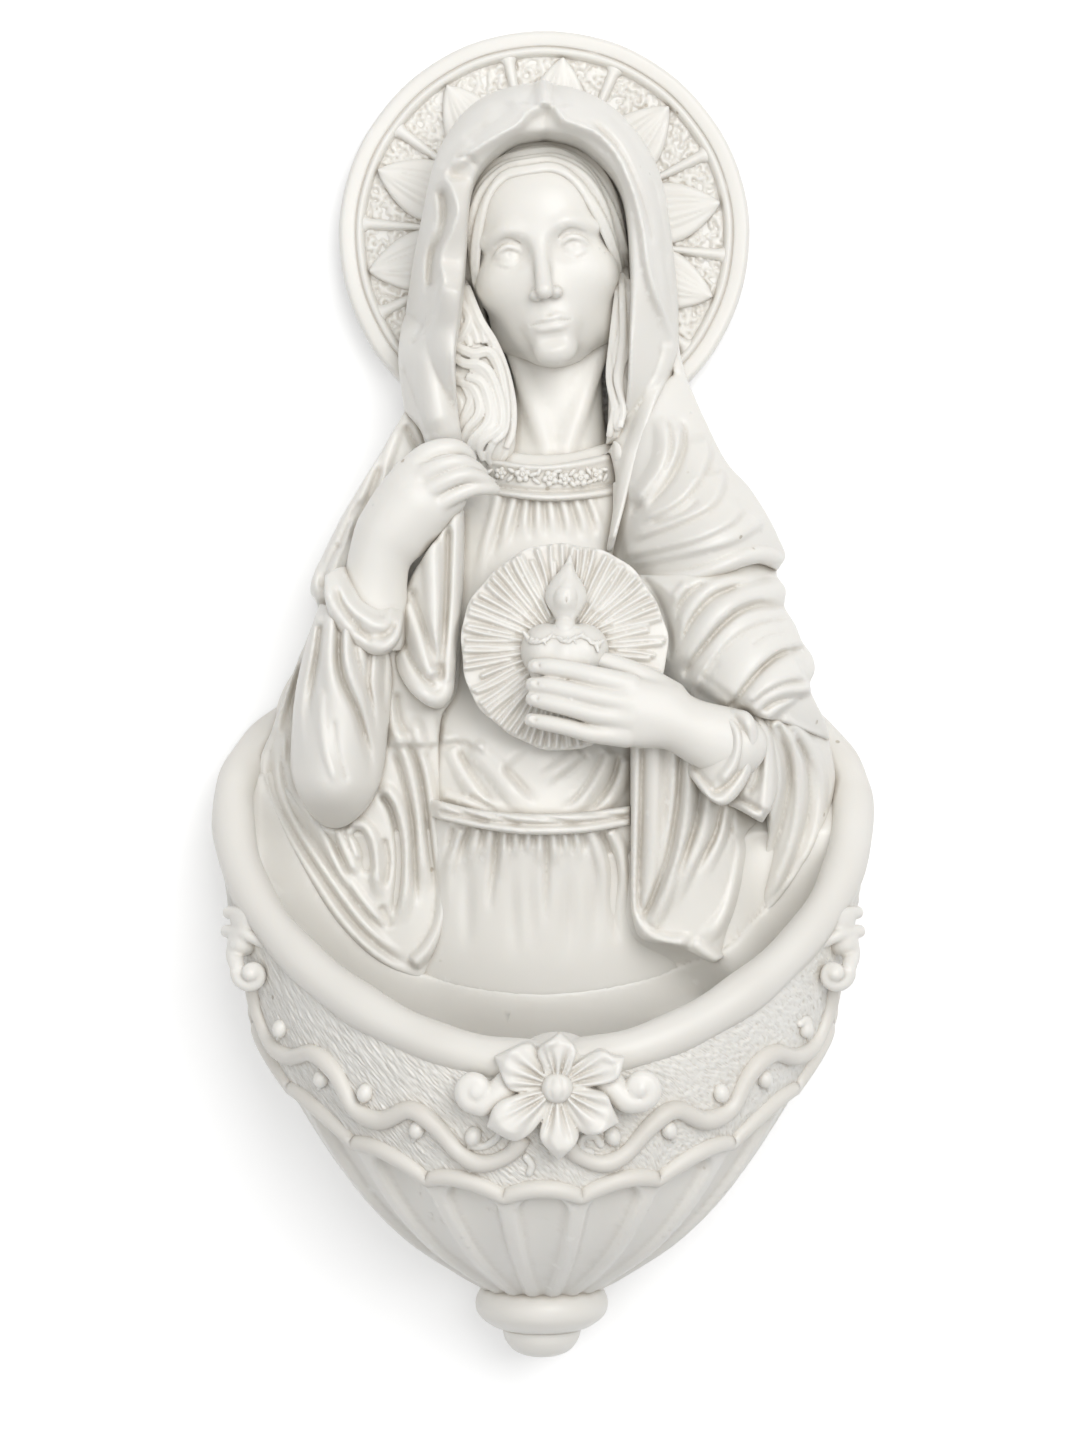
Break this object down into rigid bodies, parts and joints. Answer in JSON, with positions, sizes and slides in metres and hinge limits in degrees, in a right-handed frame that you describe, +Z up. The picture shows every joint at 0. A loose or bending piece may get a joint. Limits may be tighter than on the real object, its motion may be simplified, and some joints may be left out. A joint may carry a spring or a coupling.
{
  "type": "holy water stoup",
  "caption": "Wall-hung holy water stoup: veiled figure with rayed heart before a leafed halo, over a rolled-rim basin with vine, flutes and finial.",
  "frame": {"origin": "on the flat back that lies on the wall, behind the ray disc on the breast, at about mid height", "axes": "+Z up, +Y into the wall, +X to the viewer's right"},
  "size_m": [0.1012, 0.0561, 0.205],
  "materials": {
    "cast_stone": "satin",
    "hanger_steel": "satin"
  },
  "bodies": {
    "root": {"back_plate": "cast_stone", "basin_rim": "cast_stone", "basin_shell": "cast_stone", "bodice": "cast_stone", "cape_left": "cast_stone", "collar_band": "cast_stone", "collar_studs": "cast_stone", "finial_ball": "cast_stone", "finial_collar": "cast_stone", "flame": "cast_stone", "hair_crown": "cast_stone", "hair_left_lock": "cast_stone", "hair_right_lock": "cast_stone", "halo_disc": "cast_stone", "halo_leaves": "cast_stone", "halo_ring": "cast_stone", "halo_spokes": "cast_stone", "hanger_plate": "hanger_steel", "hanger_screws": "hanger_steel", "head": "cast_stone", "heart": "cast_stone", "heart_garland": "cast_stone", "left_arm_drape": "cast_stone", "left_cuff": "cast_stone", "left_hand": "cast_stone", "left_sleeve": "cast_stone", "mantle_left": "cast_stone", "mantle_left_panel": "cast_stone", "mantle_right": "cast_stone", "mantle_right_arm": "cast_stone", "mantle_right_fold": "cast_stone", "ray_disc": "cast_stone", "right_cuff": "cast_stone", "right_hand": "cast_stone", "right_sleeve": "cast_stone", "rim_scrolls": "cast_stone", "rosette": "cast_stone", "rosette_button": "cast_stone", "sash": "cast_stone", "scallop_bead": "cast_stone", "skirt": "cast_stone", "veil": "cast_stone", "vine": "cast_stone", "vine_berries": "cast_stone"}
  },
  "joints": []
}
